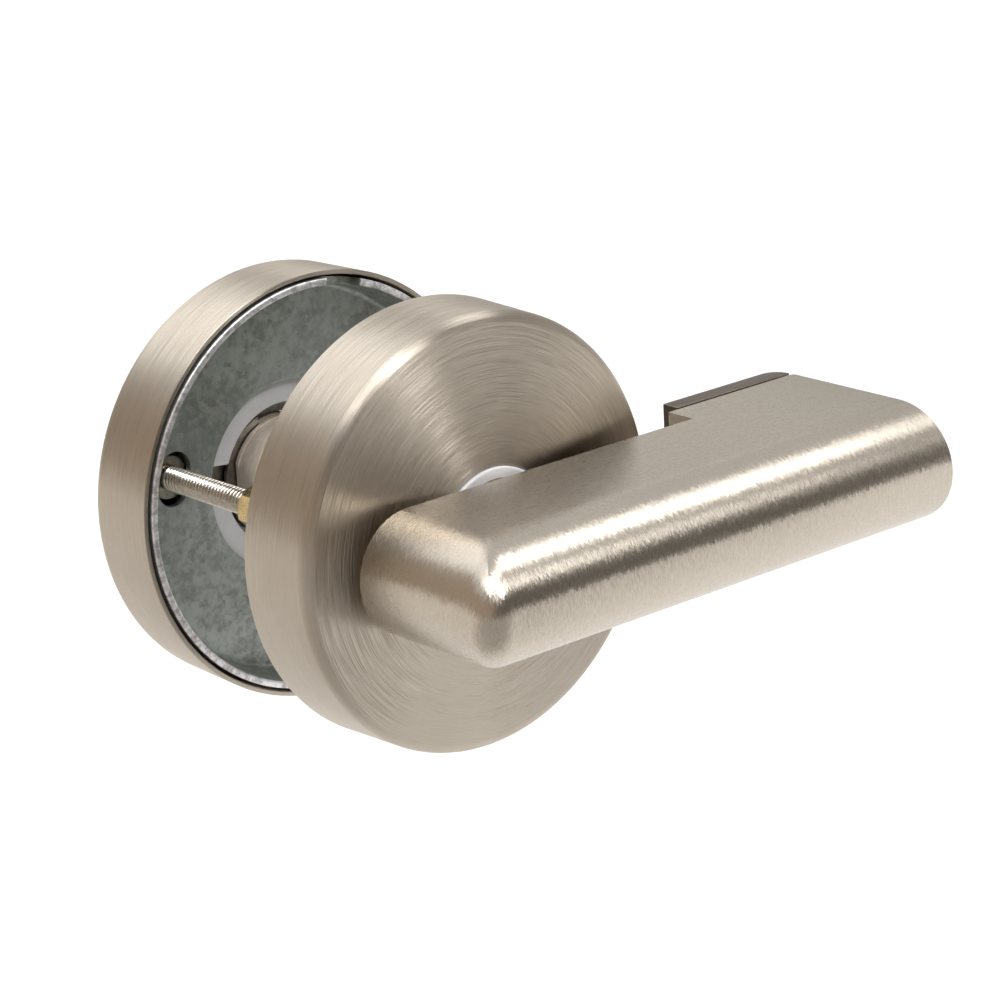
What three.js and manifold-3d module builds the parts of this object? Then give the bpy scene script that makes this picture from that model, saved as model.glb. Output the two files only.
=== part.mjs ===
// Door lever handle: an outside lever on a sprung rose, the rose for the other side of the door,
// and the spindle and through screws that join them.
//
// Millimetres. +Z is up, the lever points along +X, and the spindle lies along Y. The origin is on
// the spindle axis, halfway between the two roses. The front half, which carries the lever, faces -Y.
import * as THREE from 'three';
import { mergeVertices } from 'three/addons/utils/BufferGeometryUtils.js';
import Module from 'manifold-3d';

const wasm = await Module();
wasm.setup();

// ---------------------------------------------------------------- driving dimensions

const clearance = 0.3;          // between pieces that rest on or pass through each other

const doorGap = 25.8;           // between the open rims of the two roses
const hardwareTurn = 12;        // degrees about the spindle: the dishes and screws against the lever

const roseRadius = 35.2;        // at the open rim
const roseTaper = 0.35;         // how much narrower the wall is at the shoulder
const roseDepth = 14.6;         // open rim to the edge of the face
const roseShoulder = 2.2;       // fillet between wall and face
const roseFaceRise = 2.4;       // the face is a shallow cone that rises to its hole
const roseSheet = 0.8;

const dishGap = 0.5;            // between the rose wall and the dish rim
const dishProud = 0.35;         // how far the dish rim stands out of the rose, towards the door
const dishSheet = 1.15;
const dishTaper = 0.65;
const dishFillet = 2.2;
const dishHoleRadius = 16;
const dishNotchWidth = 7;       // pry notch in the rim
const dishNotchDepth = 2.2;

const boltCircle = 23.6;        // radius of the through screws about the spindle
const screwRadius = 2.08;       // number 8 machine screw
const screwLength = 48;
const screwHeadRadius = 3.7;
const screwHeadHeight = 2.2;
const slotAdjustment = 3;       // how much longer than wide the slots in the dishes are
const postShankWall = 0.32;     // round the bore, where the post passes the slot
const postHexWall = 1.02;       // round the bore, at the middle of a flat
const postReach = 21;           // from the dish floor towards the other half
const postRivetLip = 1.1;       // how far the rivet head reaches out past the shank
const postRivetHeight = 0.8;
const postChamferWidth = 1;
const postChamferDepth = 0.8;
const screwRecessWidth = 1;
const screwRecessDepth = 1;
const screwRecessShare = 0.62;  // of the head's width that the cross recess spans

const neckRadius = 9.6;         // the turning neck in the bush
const neckFlatDepth = 0.7;      // of the two flats that drive the cam
const bushWall = 1.4;
const bushProud = 0.5;          // bush edge above the hole in the rose
const bushFlangeWidth = 2.1;
const bushFlangeHeight = 1.6;

const cagePlay = 0.4;           // between the cage and the screw heads or rivets
const cageFloor = 1.0;
const cageWall = 1.2;
const cageLip = 0.3;            // how far the cage floor reaches in past the cam
const cageNotchDepth = 3;
const cageNotchWidth = 6.6;
const cageNotchTurn = 5;        // degrees about the spindle
const coverSheet = 0.6;
const springStrip = 0.6;        // thickness of the spring strip
const springHeight = 1.4;
const springTurns = 2.5;
const camSheet = 0.9;
const camRimWidth = 2.4;
const camArmGap = 1.8;          // from the end of the arm to the cage wall
const camArmWidth = 4;
const camTabWidth = 2.4;
const springPlay = 0.4;         // between the rim of the cam and the innermost turn
const springLegReach = 1.4;     // how far the inner leg bends in, to the tab of the cam
const stopLugWidth = 3;
const stopLugOverlap = 1;       // how far a lug reaches past the end of the arm
const stopMargin = 1.5;         // degrees beyond the limit of the turn
const coverInset = 0.2;         // between the cover and the outside of the cage
const ringSheet = 0.7;
const ringWidth = 2.1;
const ringOpening = 7;
const ringGrooveDepth = 1.2;
const neckLip = 0.7;            // metal left between the ring groove and the end of the neck

const mechanismPlay = 0.5;      // between the flange of the bush and the rose

const turnLimit = 45;           // degrees either way from level
const spindleWidth = 7;
const hubFlangeRadius = 9.2;
const hubFlangeHeight = 4.6;    // the thick end of the hub, towards the door
const hubChamfer = 0.9;
const hubStubWall = 1.23;       // at the corners of the square socket
const hubStubInLever = 14.5;    // stub length beyond the front flange
const rearStubLength = 12;      // stub length beyond the rear rose
const spindleProud = 6;         // spindle beyond the end of the rear stub

const leverHeight = 19.8;
const leverTail = 27.9;         // short end, measured from the spindle axis
const leverLength = 69.3;       // long end, measured from the spindle axis
const leverGap = 1.5;           // between the rose and the back of the lever
const leverThickness = 29.4;
const leverNose = 11.3;         // depth of the elliptical front
const fingerSpace = 5.7;        // between the rose and the return
const returnDepth = 5.6;
const coreHeight = 9.4;         // hollow core, open at the back of the return
const coreStart = 14;
const coreWall = 3.8;
const coreFrontWall = 5;

const capSetback = 2.7;         // from the step of the return to the cap
const capThickness = 3.4;
const capGap = 0.8;
const capCorner = 3;
const gasketThickness = 0.4;
const gasketInset = 0.7;
const capScrewRadius = 1.3;
const capScrewHeadRadius = 2.1;
const capScrewLength = 7;
const capCounterbore = 1.5;
const capScrewSink = 0.1;       // of the head below the back of the cap
const gasketRim = 1.6;          // width of the gasket beside the core

const setScrewRadius = 1.9;
const setScrewPlace = 4.6;      // from the back of the lever
const setScrewSink = 0.4;
const setScrewSocketDepth = 1.6;
const spindleShort = 0.5;       // of the spindle inside the end of the front stub
const overlap = 0.5;            // where two solids of one piece are joined

const largeSides = 40;
const mediumSides = 28;
const smallSides = 12;

// ---------------------------------------------------------------- places that follow from them

// Radii and half widths.
const bushBore = neckRadius + clearance;
const bushRadius = bushBore + bushWall;
const bushFlangeRadius = bushRadius + bushFlangeWidth;
const roseHole = bushRadius + clearance;
const shoulderRadius = roseRadius - roseTaper;
const dishRadius = roseRadius - roseSheet - dishGap;
const halfHeight = leverHeight / 2;
const socketWidth = spindleWidth + 2 * clearance;
const hubStubRadius = socketWidth / Math.SQRT2 + hubStubWall;
const neckBore = hubStubRadius + clearance;
const neckFlat = neckRadius - neckFlatDepth;
const screwBore = screwRadius + clearance;
const postShankRadius = screwBore + postShankWall;
const postRivetRadius = postShankRadius + postRivetLip;
const slotWidth = 2 * (postShankRadius + clearance);
const slotLength = slotWidth + slotAdjustment;
const camRimRadius = bushBore + camRimWidth;
const cageHoleRadius = camRimRadius - cageLip;
const cageRadius = boltCircle - Math.max(screwHeadRadius, postRivetRadius) - cagePlay;
const cageInside = cageRadius - cageWall;
const camArmRadius = cageInside - camArmGap;

// Distances from the middle of the door, outwards. The mechanism is stacked down from the underside
// of the rose's face, so the floor of the dish follows from it.
const rimPlane = doorGap / 2;
const shoulderPlane = rimPlane + roseDepth;
const facePlane = shoulderPlane + roseFaceRise;
const faceSlope = roseFaceRise / (shoulderRadius - roseShoulder - roseHole);
const bushFlangeTop = facePlane - roseSheet - faceSlope * (bushFlangeRadius - roseHole) - mechanismPlay;
const bushTop = facePlane + bushProud;
const bushPlane = bushFlangeTop - bushFlangeHeight;
const camTop = bushPlane - clearance;
const camPlane = camTop - camSheet;
const grooveTop = camPlane - clearance;
const ringPlane = grooveTop - clearance - ringSheet;
const groovePlane = ringPlane - clearance;
const neckEnd = groovePlane - neckLip;
const hubPlane = neckEnd - clearance - hubFlangeHeight;
const springPlane = camPlane - clearance - springHeight;
const cageFloorPlane = springPlane - clearance - cageFloor;
const dishBack = cageFloorPlane - clearance;
const dishFloor = dishBack - dishSheet;
const dishRim = rimPlane - dishProud;
const leverBack = facePlane + leverGap;
const leverFront = leverBack + leverThickness;
const returnBack = leverBack - returnDepth;
const returnStart = roseRadius + fingerSpace;
const capStart = returnStart + capSetback;
const hubStubEnd = hubPlane + hubFlangeHeight + hubStubInLever;
const rearStubEnd = facePlane + rearStubLength;

const radians = THREE.MathUtils.degToRad;

// ---------------------------------------------------------------- materials

function metal(color, roughness) {
  return new THREE.MeshStandardMaterial({ color, roughness, metalness: 1 });
}

function plastic(color, roughness) {
  return new THREE.MeshStandardMaterial({ color, roughness, metalness: 0 });
}

const finish = {
  satinNickel: () => metal(0xbeaf9e, 0.34),
  capNickel: () => metal(0x85796c, 0.45),
  galvanised: () => metal(0x8b918a, 0.5),
  plated: () => metal(0xcfc6b8, 0.3),
  brass: () => metal(0xd8c08a, 0.28),
  springSteel: () => metal(0x6d6f72, 0.4),
  nylon: () => plastic(0xe4e3e3, 0.5),
  rubber: () => plastic(0x1b1b1c, 0.8),
};

// ---------------------------------------------------------------- solids

function signedVolume(positions, triangles) {
  const corner = (index) => new THREE.Vector3().fromArray(positions, 3 * index);
  let volume = 0;
  for (let i = 0; i < triangles.length; i += 3) {
    const a = corner(triangles[i]);
    const b = corner(triangles[i + 1]);
    const c = corner(triangles[i + 2]);
    volume += a.dot(b.cross(c)) / 6;
  }
  return volume;
}

// A manifold solid from a closed three.js geometry, with its faces turned outwards.
function solid(geometry) {
  const bare = geometry.clone();
  bare.deleteAttribute('normal');
  bare.deleteAttribute('uv');
  const merged = mergeVertices(bare);
  const vertProperties = new Float32Array(merged.attributes.position.array);
  const index = merged.index.array;
  const triangles = [];
  for (let i = 0; i < index.length; i += 3) {
    const [a, b, c] = index.slice(i, i + 3);
    if (a !== b && b !== c && c !== a) {
      triangles.push(a, b, c);
    }
  }
  if (signedVolume(vertProperties, triangles) < 0) {
    triangles.reverse();
  }
  const triVerts = new Uint32Array(triangles);
  return new wasm.Manifold(new wasm.Mesh({ numProp: 3, vertProperties, triVerts }));
}

function meshOf(name, body, material) {
  const { vertProperties, triVerts } = body.getMesh();
  const geometry = new THREE.BufferGeometry();
  geometry.setAttribute('position', new THREE.BufferAttribute(new Float32Array(vertProperties), 3));
  geometry.setIndex(new THREE.BufferAttribute(new Uint32Array(triVerts), 1));
  geometry.computeVertexNormals();
  const mesh = new THREE.Mesh(geometry, material);
  mesh.name = name;
  return mesh;
}

// A solid of revolution about Y. The profile is a closed loop of [radius, y] pairs.
function turned(profile, sides) {
  const points = [...profile, profile[0]].map(([radius, y]) => new THREE.Vector2(radius, y));
  return solid(new THREE.LatheGeometry(points, sides));
}

function ring(innerRadius, outerRadius, y0, y1, sides) {
  const profile = [[innerRadius, y0], [outerRadius, y0], [outerRadius, y1], [innerRadius, y1]];
  return turned(profile, sides);
}

function rodAlongY(radius, y0, y1, x = 0, z = 0, sides = smallSides) {
  const geometry = new THREE.CylinderGeometry(radius, radius, y1 - y0, sides);
  geometry.translate(x, (y0 + y1) / 2, z);
  return solid(geometry);
}

function rodAlongZ(radius, z0, z1, x, y) {
  const geometry = new THREE.CylinderGeometry(radius, radius, z1 - z0, smallSides);
  geometry.rotateX(Math.PI / 2);
  geometry.translate(x, y, (z0 + z1) / 2);
  return solid(geometry);
}

function block([x0, x1], [y0, y1], [z0, z1]) {
  const geometry = new THREE.BoxGeometry(x1 - x0, y1 - y0, z1 - z0);
  geometry.translate((x0 + x1) / 2, (y0 + y1) / 2, (z0 + z1) / 2);
  return solid(geometry);
}

// A shape drawn in (x, z), given thickness from y0 to y1.
function plateAlongY(shape, y0, y1, curveSegments = 12) {
  const options = { depth: y1 - y0, bevelEnabled: false, curveSegments };
  const geometry = new THREE.ExtrudeGeometry(shape, options);
  const axes = new THREE.Matrix4().makeBasis(
    new THREE.Vector3(1, 0, 0),
    new THREE.Vector3(0, 0, 1),
    new THREE.Vector3(0, -1, 0),
  );
  geometry.applyMatrix4(axes);
  geometry.translate(0, y1, 0);
  return solid(geometry);
}

// A shape drawn in (y, z), drawn out from x0 to x1.
function barAlongX(shape, x0, x1, curveSegments) {
  const options = { depth: x1 - x0, bevelEnabled: false, curveSegments };
  const geometry = new THREE.ExtrudeGeometry(shape, options);
  const axes = new THREE.Matrix4().makeBasis(
    new THREE.Vector3(0, 1, 0),
    new THREE.Vector3(0, 0, 1),
    new THREE.Vector3(1, 0, 0),
  );
  geometry.applyMatrix4(axes);
  geometry.translate(x0, 0, 0);
  return solid(geometry);
}

// A shape drawn in (x, y), drawn out from z0 to z1.
function slabAlongZ(shape, z0, z1) {
  const options = { depth: z1 - z0, bevelEnabled: false, curveSegments: 6 };
  const geometry = new THREE.ExtrudeGeometry(shape, options);
  geometry.translate(0, 0, z0);
  return solid(geometry);
}

// Points of a quarter round in a profile, from one tangent point to the next.
function quarterRound(centreRadius, centreY, radius, from, to, steps) {
  return Array.from({ length: steps + 1 }, (_, i) => {
    const angle = radians(from + ((to - from) * i) / steps);
    return [centreRadius + radius * Math.cos(angle), centreY + radius * Math.sin(angle)];
  });
}

function obround(x, z, width, length) {
  const half = width / 2;
  const straight = (length - width) / 2;
  const shape = new THREE.Shape();
  shape.absarc(x, z + straight, half, 0, Math.PI, false);
  shape.absarc(x, z - straight, half, Math.PI, 2 * Math.PI, false);
  return shape;
}

// ---------------------------------------------------------------- pieces of one half
// Each half is drawn with +Y pointing outwards from the door, and then placed.

function makeRose(name) {
  const inner = roseShoulder - roseSheet;
  const filletY = shoulderPlane - roseShoulder;
  const filletRadius = shoulderRadius - roseShoulder;
  const profile = [
    [roseRadius, rimPlane],
    ...quarterRound(filletRadius, filletY, roseShoulder, 0, 90, 3),
    [roseHole, facePlane],
    [roseHole, facePlane - roseSheet],
    ...quarterRound(filletRadius, filletY, inner, 90, 0, 1),
    [roseRadius - roseSheet, rimPlane],
  ];
  return meshOf(name, turned(profile, largeSides), finish.satinNickel());
}

function makeDish(name) {
  const wallFoot = dishRadius - dishTaper;
  const filletRadius = wallFoot - dishFillet;
  const filletY = dishBack - dishFillet;
  const profile = [
    [dishRadius, dishRim],
    ...quarterRound(filletRadius, filletY, dishFillet, 0, 90, 2),
    [dishHoleRadius, dishBack],
    [dishHoleRadius, dishFloor],
    ...quarterRound(filletRadius, filletY, dishFillet - dishSheet, 90, 0, 1),
    [dishRadius - dishSheet, dishRim],
  ];
  const notch = block(
    [-dishNotchWidth / 2, dishNotchWidth / 2],
    [dishRim - 1, dishRim + dishNotchDepth],
    [dishRadius / 2, dishRadius + 1],
  );
  let dish = turned(profile, largeSides).subtract(notch);
  for (const x of [-boltCircle, boltCircle]) {
    const slot = obround(x, 0, slotWidth, slotLength);
    dish = dish.subtract(plateAlongY(slot, dishFloor - 1, dishBack + 1, 5));
  }
  return meshOf(name, dish, finish.galvanised());
}

function makeBush(name) {
  const profile = [
    [bushBore, bushPlane],
    [bushFlangeRadius, bushPlane],
    [bushFlangeRadius, bushFlangeTop],
    [bushRadius, bushFlangeTop],
    [bushRadius, bushTop],
    [bushBore, bushTop],
  ];
  return meshOf(name, turned(profile, mediumSides), finish.nylon());
}

// The cage holds the spring, and its two lugs stop the arm of the cam.
function makeCage(name) {
  const profile = [
    [cageHoleRadius, cageFloorPlane],
    [cageRadius, cageFloorPlane],
    [cageRadius, camTop],
    [cageInside, camTop],
    [cageInside, cageFloorPlane + cageFloor],
    [cageHoleRadius, cageFloorPlane + cageFloor],
  ];
  let cage = turned(profile, mediumSides);
  const notchLength = 2 * (cageHoleRadius + cageNotchDepth);
  const notch = new THREE.BoxGeometry(notchLength, 3 * cageFloor, cageNotchWidth);
  notch.rotateY(radians(cageNotchTurn));
  notch.translate(0, cageFloorPlane + cageFloor / 2, 0);
  cage = cage.subtract(solid(notch));

  const lugRadius = camArmRadius - stopLugOverlap;
  const armAngle = Math.asin(camArmWidth / 2 / lugRadius);
  const lugAngle = Math.asin(stopLugWidth / 2 / lugRadius);
  const stopAngle = radians(turnLimit) + armAngle + lugAngle + radians(stopMargin);
  const lugReach = cageRadius - cageWall / 2 - lugRadius;
  for (const side of [-1, 1]) {
    const lug = new THREE.BoxGeometry(stopLugWidth, camSheet, lugReach);
    lug.translate(0, (camPlane + camTop) / 2, -lugRadius - lugReach / 2);
    lug.rotateY(side * stopAngle);
    cage = cage.add(solid(lug));
  }
  return meshOf(name, cage, finish.nylon());
}

function makeCageCover(name) {
  const innerRadius = bushFlangeRadius + 2 * clearance;
  const outerRadius = cageRadius - coverInset;
  const cover = ring(innerRadius, outerRadius, bushPlane, bushPlane + coverSheet, mediumSides);
  return meshOf(name, cover, finish.galvanised());
}

// A flat spiral of spring strip. Its inner leg bears on the tab of the cam.
function makeSpring(name) {
  const innerRadius = camRimRadius + springPlay + springStrip / 2;
  const outerRadius = cageInside - clearance - springStrip;
  const stepsPerTurn = 12;
  const steps = Math.round(springTurns * stepsPerTurn);
  const legRadius = innerRadius - springLegReach;
  const start = Math.asin((camTabWidth / 2 + springStrip / 2 + clearance) / legRadius) - Math.PI / 2;
  const middle = springPlane + springHeight / 2;
  const pointAt = (radius, angle) => {
    return new THREE.Vector3(radius * Math.cos(angle), middle, radius * Math.sin(angle));
  };
  const path = [pointAt(legRadius, start)];
  for (let i = 0; i <= steps; i += 1) {
    const part = i / steps;
    const radius = THREE.MathUtils.lerp(innerRadius, outerRadius, part);
    path.push(pointAt(radius, start + part * springTurns * 2 * Math.PI));
  }
  const strip = new THREE.Shape([
    new THREE.Vector2(-springHeight / 2, -springStrip / 2),
    new THREE.Vector2(springHeight / 2, -springStrip / 2),
    new THREE.Vector2(springHeight / 2, springStrip / 2),
    new THREE.Vector2(-springHeight / 2, springStrip / 2),
  ]);
  const extrudePath = new THREE.CatmullRomCurve3(path, false, 'centripetal');
  const geometry = new THREE.ExtrudeGeometry(strip, {
    steps: steps + stepsPerTurn,
    bevelEnabled: false,
    extrudePath,
  });
  return meshOf(name, solid(geometry), finish.springSteel());
}

// The cam is keyed to the flats of the neck. Its arm meets the stops and its tab winds the spring.
function makeCam(name) {
  const arm = block(
    [-camArmWidth / 2, camArmWidth / 2],
    [camPlane, camTop],
    [-camArmRadius, 1 - camRimRadius],
  );
  const tab = block(
    [-camTabWidth / 2, camTabWidth / 2],
    [springPlane + clearance, camTop],
    [-camRimRadius, 1 - camRimRadius],
  );
  const flatGap = neckFlat + clearance;
  const keyhole = rodAlongY(bushBore, camPlane - 1, camTop + 1, 0, 0, mediumSides)
    .intersect(block([-flatGap, flatGap], [camPlane - 2, camTop + 2], [-roseRadius, roseRadius]));
  const cam = rodAlongY(camRimRadius, camPlane, camTop, 0, 0, mediumSides)
    .add(arm)
    .add(tab)
    .subtract(keyhole);
  return meshOf(name, cam, finish.springSteel());
}

function makeRetainingRing(name) {
  const innerRadius = neckRadius - ringGrooveDepth + clearance;
  const outerRadius = innerRadius + ringWidth;
  const whole = ring(innerRadius, outerRadius, ringPlane, ringPlane + ringSheet, mediumSides);
  const opening = block(
    [-ringOpening / 2, ringOpening / 2],
    [ringPlane - 1, ringPlane + ringSheet + 1],
    [0, outerRadius + 1],
  );
  return meshOf(name, whole.subtract(opening), finish.springSteel());
}

// The neck turns in the bush, with flats for the cam and a groove for the retaining ring.
function neck(outerEnd) {
  const grooveRadius = neckRadius - ringGrooveDepth;
  const groove = ring(grooveRadius, neckRadius + 1, groovePlane, grooveTop, mediumSides);
  const flats = [-1, 1].map((side) => block(
    side > 0 ? [neckFlat, neckRadius + 1] : [-neckRadius - 1, -neckFlat],
    [neckEnd - 1, bushPlane],
    [-roseRadius, roseRadius],
  ));
  return rodAlongY(neckRadius, neckEnd, outerEnd, 0, 0, mediumSides)
    .subtract(groove)
    .subtract(flats[0])
    .subtract(flats[1]);
}

function hubFlange() {
  const profile = [
    [0, hubPlane],
    [hubFlangeRadius - hubChamfer, hubPlane],
    [hubFlangeRadius, hubPlane + hubChamfer],
    [hubFlangeRadius, hubPlane + hubFlangeHeight],
    [0, hubPlane + hubFlangeHeight],
  ];
  return turned(profile, mediumSides);
}

function squareSocket(y0, y1) {
  const half = socketWidth / 2;
  return block([-half, half], [y0, y1], [-half, half]);
}

// ---------------------------------------------------------------- front half

// A brass post riveted into a dish slot, tapped for a through screw.
function makePost(name, x) {
  const circumradius = (screwBore + postHexWall) / Math.cos(Math.PI / 6);
  const foot = dishFloor - clearance;
  const tip = foot - postReach;
  const profile = [
    [0, tip],
    [circumradius - postChamferWidth, tip],
    [circumradius, tip + postChamferDepth],
    [circumradius, foot],
    [0, foot],
  ];
  const rivetPlane = dishBack + clearance;
  const hexagon = new THREE.LatheGeometry(profile.map(([r, y]) => new THREE.Vector2(r, y)), 6);
  hexagon.translate(x, 0, 0);
  const post = solid(hexagon)
    .add(rodAlongY(postShankRadius, foot - overlap, rivetPlane + overlap / 2, x))
    .add(rodAlongY(postRivetRadius, rivetPlane, rivetPlane + postRivetHeight, x))
    .subtract(rodAlongY(screwBore, tip - 1, rivetPlane + postRivetHeight + 1, x));
  return meshOf(name, post, finish.brass());
}

function makeFrontHub(name) {
  const stub = rodAlongY(hubStubRadius, hubPlane + 1, hubStubEnd, 0, 0, mediumSides);
  const hub = hubFlange().add(stub).subtract(squareSocket(hubPlane - 1, hubStubEnd + 1));
  return meshOf(name, hub, finish.plated());
}

// ---------------------------------------------------------------- rear half

function makeThroughScrew(name, x) {
  const headPlane = dishBack + clearance;
  const headTop = headPlane + screwHeadHeight;
  const recessReach = screwHeadRadius * screwRecessShare;
  const recess = [headTop - screwRecessDepth, headTop + 1];
  const screw = rodAlongY(screwRadius, headPlane - screwLength, headPlane + overlap, x)
    .add(rodAlongY(screwHeadRadius, headPlane, headTop, x))
    .subtract(block(
      [x - screwRecessWidth / 2, x + screwRecessWidth / 2],
      recess,
      [-recessReach, recessReach],
    ))
    .subtract(block(
      [x - recessReach, x + recessReach],
      recess,
      [-screwRecessWidth / 2, screwRecessWidth / 2],
    ));
  return meshOf(name, screw, finish.plated());
}

// The rear hub is its own neck. Its stub is the seat for an inside lever.
function makeRearHub(name) {
  const hub = neck(bushTop + clearance)
    .add(hubFlange())
    .add(rodAlongY(hubStubRadius, hubPlane + 1, rearStubEnd, 0, 0, mediumSides))
    .subtract(squareSocket(hubPlane - 1, rearStubEnd + 1));
  return meshOf(name, hub, finish.plated());
}

// ---------------------------------------------------------------- lever
// The lever is drawn with +Y outwards too, and X along the handle away from the door's edge.

function leverProfile() {
  const noseStart = leverFront - leverNose;
  const shape = new THREE.Shape();
  shape.moveTo(returnBack, -halfHeight);
  shape.lineTo(noseStart, -halfHeight);
  shape.absellipse(noseStart, 0, leverNose, halfHeight, -Math.PI / 2, Math.PI / 2, false);
  shape.lineTo(returnBack, halfHeight);
  shape.closePath();
  return shape;
}

function leverPlan() {
  return new THREE.Shape([
    new THREE.Vector2(-leverTail - 1, leverBack),
    new THREE.Vector2(returnStart, leverBack),
    new THREE.Vector2(returnStart, returnBack),
    new THREE.Vector2(leverLength, returnBack),
    new THREE.Vector2(leverLength, leverFront + 1),
    new THREE.Vector2(-leverTail - 1, leverFront + 1),
  ]);
}

// Seen from the front, the tail of the lever is a half circle.
function leverFace() {
  const tailCentre = -leverTail + halfHeight;
  const shape = new THREE.Shape();
  shape.moveTo(leverLength + 1, halfHeight);
  shape.lineTo(tailCentre, halfHeight);
  shape.absarc(tailCentre, 0, halfHeight, Math.PI / 2, 1.5 * Math.PI, false);
  shape.lineTo(leverLength + 1, -halfHeight);
  shape.closePath();
  return shape;
}

function capScrewPlaces() {
  const x = (capStart + leverLength) / 2;
  const z = (coreHeight / 2 + halfHeight) / 2;
  return [[x, z], [x, -z]];
}

function leverSolid() {
  const outside = barAlongX(leverProfile(), -leverTail - 1, leverLength, 8)
    .intersect(slabAlongZ(leverPlan(), -halfHeight - 1, halfHeight + 1))
    .intersect(plateAlongY(leverFace(), returnBack - 1, leverFront + 1, 10));

  const coreEnd = leverLength - coreWall;
  const coreSides = [-coreHeight / 2, coreHeight / 2];
  const core = block([coreStart, coreEnd], [leverBack + coreWall, leverFront - coreFrontWall], coreSides);
  const mouthLength = [returnStart + coreWall, coreEnd];
  const coreMouth = block(mouthLength, [returnBack - 1, leverBack + coreWall + 1], coreSides);

  const neckSolid = neck(leverBack + overlap);
  const boreEnd = hubStubEnd + clearance;
  const setScrewY = leverBack + setScrewPlace;
  let lever = outside
    .add(neckSolid)
    .subtract(core)
    .subtract(coreMouth)
    .subtract(rodAlongY(neckBore, neckEnd - 1, boreEnd, 0, 0, mediumSides))
    .subtract(rodAlongZ(setScrewRadius + clearance, -halfHeight - 1, 0, 0, setScrewY));
  for (const [x, z] of capScrewPlaces()) {
    const depth = returnBack + capScrewLength - capThickness;
    lever = lever.subtract(rodAlongY(capScrewRadius + clearance, returnBack - 1, depth, x, z));
  }
  return lever;
}

function capOutline(inset) {
  const back = returnBack - capGap - capThickness;
  const end = leverLength - inset;
  const corner = Math.min(capCorner, capThickness - 0.2);
  const shape = new THREE.Shape();
  shape.moveTo(capStart + inset, returnBack - capGap);
  shape.lineTo(capStart + inset, back);
  shape.lineTo(end - corner, back);
  shape.absarc(end - corner, back + corner, corner, -Math.PI / 2, 0, false);
  shape.lineTo(end, returnBack - capGap);
  shape.closePath();
  return shape;
}

function makeCap(name) {
  const back = returnBack - capGap - capThickness;
  let cap = slabAlongZ(capOutline(0), -halfHeight, halfHeight);
  for (const [x, z] of capScrewPlaces()) {
    cap = cap
      .subtract(rodAlongY(capScrewRadius + clearance, back - 1, returnBack, x, z))
      .subtract(rodAlongY(capScrewHeadRadius + clearance, back - 1, back + capCounterbore, x, z));
  }
  return meshOf(name, cap, finish.capNickel());
}

function makeGasket(name) {
  const y0 = returnBack - capGap / 2 - gasketThickness / 2;
  const y1 = y0 + gasketThickness;
  const edge = halfHeight - gasketInset;
  let gasket = block([capStart + gasketInset, leverLength - gasketInset], [y0, y1], [-edge, edge])
    .subtract(block(
      [returnStart + coreWall + gasketRim, leverLength - coreWall],
      [y0 - 1, y1 + 1],
      [-coreHeight / 2, coreHeight / 2],
    ));
  for (const [x, z] of capScrewPlaces()) {
    gasket = gasket.subtract(rodAlongY(capScrewRadius + clearance, y0 - 1, y1 + 1, x, z));
  }
  return meshOf(name, gasket, finish.rubber());
}

function makeCapScrew(name, [x, z]) {
  const back = returnBack - capGap - capThickness;
  const headEnd = back + capCounterbore - clearance;
  const tip = headEnd + capScrewLength - capThickness;
  const screw = rodAlongY(capScrewRadius, headEnd - overlap, tip, x, z)
    .add(rodAlongY(capScrewHeadRadius, back + capScrewSink, headEnd, x, z));
  return meshOf(name, screw, finish.plated());
}

function makeSetScrew(name) {
  const y = leverBack + setScrewPlace;
  const foot = -halfHeight + setScrewSink;
  const socketEnd = foot + setScrewSocketDepth;
  const screw = rodAlongZ(setScrewRadius, foot, -hubStubRadius - clearance, 0, y);
  const socket = rodAlongZ(setScrewRadius / 2, -halfHeight - 1, socketEnd, 0, y);
  return meshOf(name, screw.subtract(socket), finish.springSteel());
}

function makeSpindle(name) {
  const half = spindleWidth / 2;
  const ends = [spindleShort - hubStubEnd, rearStubEnd + spindleProud];
  const bar = block([-half, half], ends, [-half, half]);
  return meshOf(name, bar, finish.galvanised());
}

// ---------------------------------------------------------------- assembly

function half(prefix, turn) {
  const group = new THREE.Group();
  const dishGroup = new THREE.Group();
  dishGroup.rotation.y = radians(turn);
  dishGroup.add(makeDish(`${prefix}_dish`));
  group.add(
    makeRose(`${prefix}_rose`),
    dishGroup,
    makeBush(`${prefix}_bush`),
    makeCage(`${prefix}_spring_cage`),
    makeCageCover(`${prefix}_cage_cover`),
    makeSpring(`${prefix}_spring`),
    makeCam(`${prefix}_cam`),
    makeRetainingRing(`${prefix}_retaining_ring`),
  );
  return { group, dishGroup };
}

// Turning the front half about Z would swap the ends of the lever, so the lever has its own group,
// mirrored into place by its geometry.
function mirroredAlongY(mesh) {
  mesh.geometry.scale(1, -1, 1);
  const index = mesh.geometry.index.array;
  index.reverse();
  mesh.geometry.computeVertexNormals();
  return mesh;
}

function lever() {
  const group = new THREE.Group();
  const [upper, lower] = capScrewPlaces();
  const pieces = [
    meshOf('lever_body', leverSolid(), finish.satinNickel()),
    makeCap('lever_cap'),
    makeGasket('lever_cap_gasket'),
    makeCapScrew('upper_cap_screw', upper),
    makeCapScrew('lower_cap_screw', lower),
    makeSetScrew('lever_set_screw'),
    makeFrontHub('front_hub'),
  ];
  pieces.forEach((piece) => group.add(mirroredAlongY(piece)));
  return group;
}

const front = half('front', -hardwareTurn);
front.group.rotation.z = Math.PI;
front.dishGroup.add(makePost('right_post', -boltCircle), makePost('left_post', boltCircle));

const rear = half('rear', hardwareTurn);
rear.dishGroup.add(
  makeThroughScrew('left_through_screw', -boltCircle),
  makeThroughScrew('right_through_screw', boltCircle),
);
rear.group.add(makeRearHub('rear_hub'));

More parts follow.
